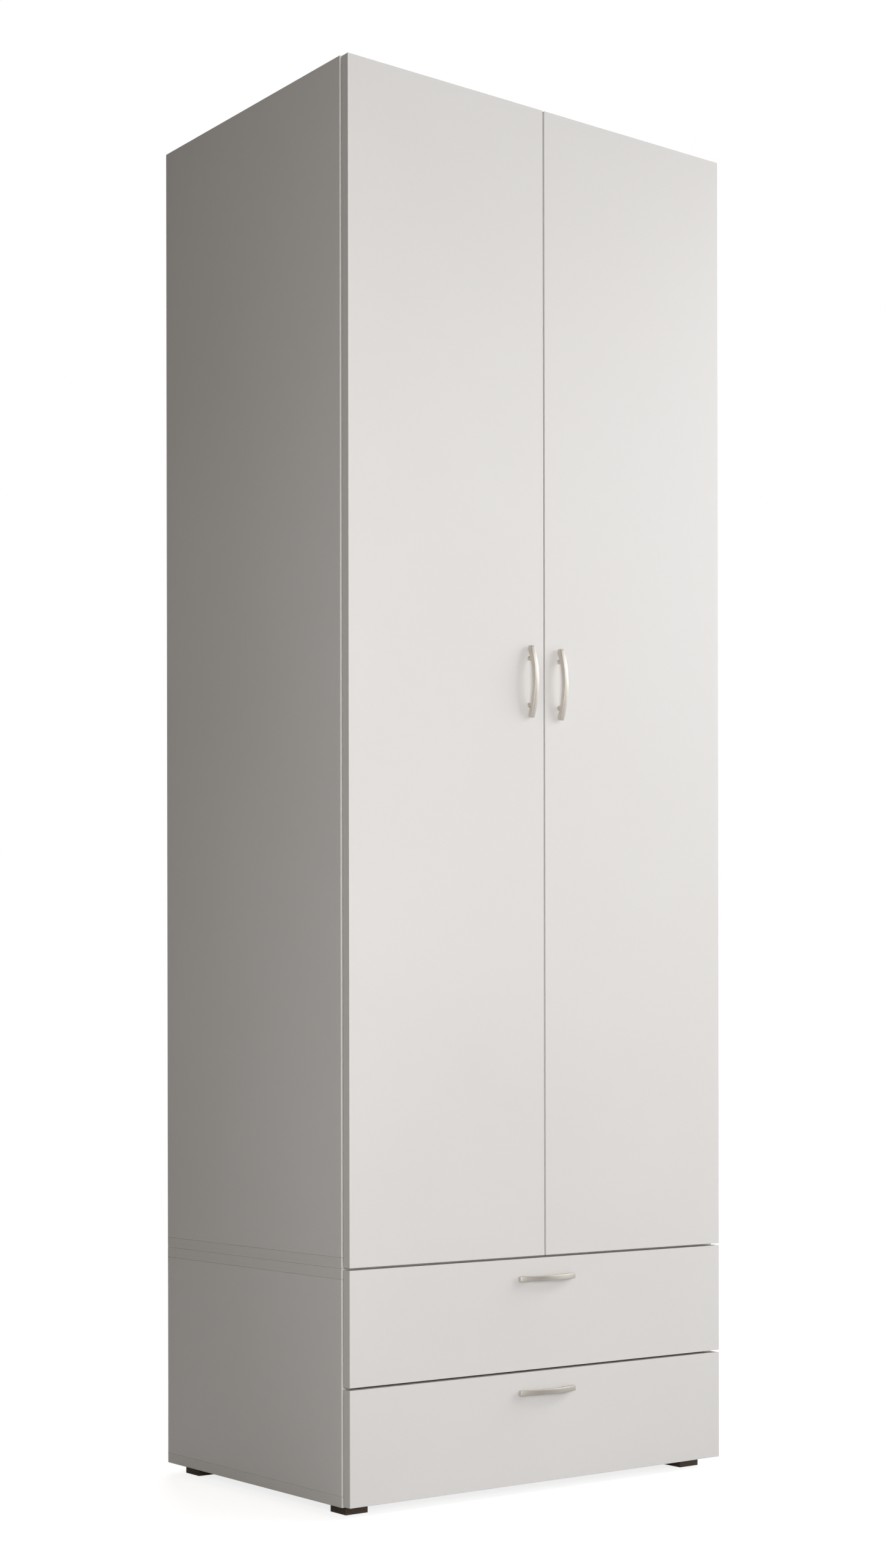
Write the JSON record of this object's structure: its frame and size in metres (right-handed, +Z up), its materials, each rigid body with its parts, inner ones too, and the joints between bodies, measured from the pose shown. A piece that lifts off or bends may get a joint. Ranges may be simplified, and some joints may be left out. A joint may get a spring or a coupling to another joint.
{
  "type": "wardrobe",
  "caption": "Free-standing wardrobe: a hanging unit with a pair of tall flat doors on a unit with full-width drawers, bow handles and block feet.",
  "frame": {"origin": "on the floor, in the middle of the space that the whole wardrobe takes up, handles included", "axes": "+X to the right seen from the front, +Y to the back, +Z up; the doors and drawers face -Y"},
  "size_m": [0.74, 0.5376, 2.139],
  "materials": {
    "melamine_board": "matt off-white melamine facing on board",
    "hardboard": "pale lacquered hardboard",
    "handle_nickel": "satin nickel",
    "hinge_steel": "nickel-plated steel",
    "screw_steel": "zinc-plated steel",
    "rail_steel": "chromed tube",
    "runner_steel": "white powder coat",
    "roller_nylon": "white nylon",
    "foot_plastic": "dark brown moulded plastic",
    "strip_plastic": "white plastic profile",
    "dowel_beech": "plain beech",
    "bumper_rubber": "clear soft pad"
  },
  "bodies": {
    "carcass": {"base_side_left": "melamine_board", "base_side_right": "melamine_board", "base_bottom": "melamine_board", "base_top": "melamine_board", "base_back": "hardboard", "foot_front_left": "foot_plastic", "foot_front_right": "foot_plastic", "foot_rear_left": "foot_plastic", "foot_rear_right": "foot_plastic", "wardrobe_side_left": "melamine_board", "wardrobe_side_right": "melamine_board", "wardrobe_bottom": "melamine_board", "wardrobe_top": "melamine_board", "back_lower": "hardboard", "back_upper": "hardboard", "back_joint_strip": "strip_plastic", "back_nails": "screw_steel", "hat_shelf": "melamine_board", "shelf_pins": "screw_steel", "clothes_rail": "rail_steel", "rail_sockets": "rail_steel", "cam_fittings": "screw_steel", "wood_dowels": "dowel_beech", "carcass_screws": "screw_steel", "wall_brackets": "screw_steel", "hinge_plates": "hinge_steel", "hinge_arms": "hinge_steel", "front_bumpers": "bumper_rubber", "cabinet_runners": "runner_steel"},
    "left_door": {"left_door": "melamine_board", "left_door_handle": "handle_nickel", "left_handle_screws": "screw_steel", "left_hinge_cups": "hinge_steel", "left_hinge_pins": "hinge_steel"},
    "right_door": {"right_door": "melamine_board", "right_door_handle": "handle_nickel", "right_handle_screws": "screw_steel", "right_hinge_cups": "hinge_steel", "right_hinge_pins": "hinge_steel"},
    "upper_drawer": {"upper_drawer_front": "melamine_board", "upper_drawer_side_left": "melamine_board", "upper_drawer_side_right": "melamine_board", "upper_drawer_back": "melamine_board", "upper_drawer_bottom": "hardboard", "upper_drawer_handle": "handle_nickel", "upper_handle_screws": "screw_steel", "upper_drawer_runners": "runner_steel"},
    "upper_cabinet_rollers": {"upper_cabinet_rollers": "roller_nylon"},
    "upper_drawer_rollers": {"upper_drawer_rollers": "roller_nylon"},
    "lower_drawer": {"lower_drawer_front": "melamine_board", "lower_drawer_side_left": "melamine_board", "lower_drawer_side_right": "melamine_board", "lower_drawer_back": "melamine_board", "lower_drawer_bottom": "hardboard", "lower_drawer_handle": "handle_nickel", "lower_handle_screws": "screw_steel", "lower_drawer_runners": "runner_steel"},
    "lower_cabinet_rollers": {"lower_cabinet_rollers": "roller_nylon"},
    "lower_drawer_rollers": {"lower_drawer_rollers": "roller_nylon"}
  },
  "joints": [
    {"name": "left_door_swing", "type": "hinge", "parent": "carcass", "child": "left_door", "pos_m": [-0.361, -0.24255, 1.251], "axis": [0, 0, -1], "range_deg": [0, 100]},
    {"name": "right_door_swing", "type": "hinge", "parent": "carcass", "child": "right_door", "pos_m": [0.361, -0.24255, 1.251], "axis": [0, 0, 1], "range_deg": [0, 100]},
    {"name": "upper_drawer_slide", "type": "slide", "parent": "carcass", "child": "upper_drawer", "axis": [0, -1, 0], "range_m": [0, 0.35]},
    {"name": "upper_cabinet_roller_spin", "type": "hinge", "parent": "carcass", "child": "upper_cabinet_rollers", "pos_m": [0, -0.21425, 0.22557], "axis": [1, 0, 0], "range_deg": [0, 2250]},
    {"name": "upper_drawer_roller_spin", "type": "hinge", "parent": "upper_drawer", "child": "upper_drawer_rollers", "pos_m": [0, 0.20425, 0.22037], "axis": [1, 0, 0], "range_deg": [0, 2250]},
    {"name": "lower_drawer_slide", "type": "slide", "parent": "carcass", "child": "lower_drawer", "axis": [0, -1, 0], "range_m": [0, 0.35]},
    {"name": "lower_cabinet_roller_spin", "type": "hinge", "parent": "carcass", "child": "lower_cabinet_rollers", "pos_m": [0, -0.21425, 0.0507], "axis": [1, 0, 0], "range_deg": [0, 2250]},
    {"name": "lower_drawer_roller_spin", "type": "hinge", "parent": "lower_drawer", "child": "lower_drawer_rollers", "pos_m": [0, 0.20425, 0.0455], "axis": [1, 0, 0], "range_deg": [0, 2250]}
  ],
  "couplings": [
    {"joint": "upper_cabinet_roller_spin", "follows": "upper_drawer_slide", "rad_per_m": 111.11},
    {"joint": "upper_drawer_roller_spin", "follows": "upper_drawer_slide", "rad_per_m": 111.11},
    {"joint": "lower_cabinet_roller_spin", "follows": "lower_drawer_slide", "rad_per_m": 111.11},
    {"joint": "lower_drawer_roller_spin", "follows": "lower_drawer_slide", "rad_per_m": 111.11}
  ]
}
